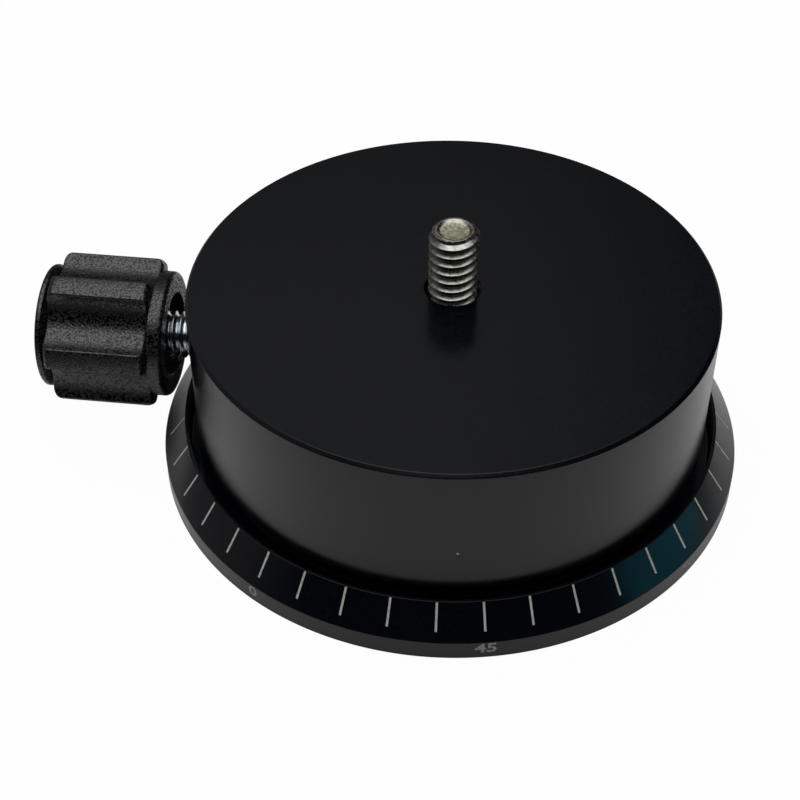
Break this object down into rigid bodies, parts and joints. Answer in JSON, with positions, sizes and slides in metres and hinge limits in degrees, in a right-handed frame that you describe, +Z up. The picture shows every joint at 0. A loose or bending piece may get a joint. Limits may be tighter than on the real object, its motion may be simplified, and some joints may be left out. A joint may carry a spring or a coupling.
{
  "type": "panoramic rotator",
  "caption": "Round camera panning base: a black drum with a threaded stud turns on a graduated dish and is locked by a ribbed side knob.",
  "frame": {"origin": "on the surface that the base stands on, under the middle of the whole outline; the turning axis is at X = 7.4 mm", "axes": "+Z up along the turning axis; -X along the lock knob, outwards from the drum; +Y to the back"},
  "size_m": [0.0898, 0.075, 0.0345],
  "materials": {
    "black_anodised": "fine black anodised aluminium, satin",
    "black_plastic": "black plastic with a fine moulded grain",
    "stainless_steel": "turned stainless steel, warm grey",
    "zinc_plate": "bright bluish zinc plate",
    "black_oxide_steel": "black oxide steel",
    "aluminium": "bare turned aluminium",
    "brass": "turned brass",
    "bronze": "sintered bronze",
    "bearing_steel": "ground bearing steel",
    "spring_steel": "spring steel",
    "white_glide_plastic": "white low-friction plastic",
    "cage_nylon": "natural nylon"
  },
  "bodies": {
    "base": {"graduated_base": "black_anodised", "tripod_bush": "stainless_steel", "bush_grub_screw": "black_oxide_steel", "spindle": "aluminium", "spindle_screw_1": "black_oxide_steel", "spindle_screw_2": "black_oxide_steel", "spindle_screw_3": "black_oxide_steel", "lower_race": "bearing_steel"},
    "drum": {"drum_housing": "black_anodised", "camera_stud": "stainless_steel", "retaining_ring": "aluminium", "retaining_screw_1": "black_oxide_steel", "retaining_screw_2": "black_oxide_steel", "retaining_screw_3": "black_oxide_steel", "retaining_screw_4": "black_oxide_steel", "wave_washer": "spring_steel", "glide_disc": "white_glide_plastic", "upper_race": "bearing_steel", "sleeve_bush": "bronze"},
    "bearing": {"bearing_cage": "cage_nylon", "bearing_ball_1": "bearing_steel", "bearing_ball_2": "bearing_steel", "bearing_ball_3": "bearing_steel", "bearing_ball_4": "bearing_steel", "bearing_ball_5": "bearing_steel", "bearing_ball_6": "bearing_steel", "bearing_ball_7": "bearing_steel", "bearing_ball_8": "bearing_steel", "bearing_ball_9": "bearing_steel", "bearing_ball_10": "bearing_steel", "bearing_ball_11": "bearing_steel", "bearing_ball_12": "bearing_steel"},
    "clamp": {"clamp_shoe": "brass"},
    "knob": {"knob_grip": "black_plastic", "knob_cap": "black_plastic", "knob_screw": "zinc_plate"}
  },
  "joints": [
    {"name": "drum_rotation", "type": "hinge", "parent": "base", "child": "drum", "pos_m": [0.0074, 0, 0], "axis": [0, 0, 1], "continuous": true},
    {"name": "bearing_orbit", "type": "hinge", "parent": "base", "child": "bearing", "pos_m": [0.0074, 0, 0], "axis": [0, 0, 1], "continuous": true},
    {"name": "clamp_slide", "type": "slide", "parent": "drum", "child": "clamp", "axis": [-1, 0, 0], "range_m": [-0.00025, 0.0015]},
    {"name": "knob_turn", "type": "hinge", "parent": "clamp", "child": "knob", "pos_m": [0.0074, 0, 0.0146], "axis": [-1, 0, 0], "range_deg": [-100, 555]}
  ],
  "couplings": [
    {"joint": "bearing_orbit", "follows": "drum_rotation", "ratio": 0.5},
    {"joint": "knob_turn", "follows": "clamp_slide", "rad_per_m": 6283.2}
  ]
}
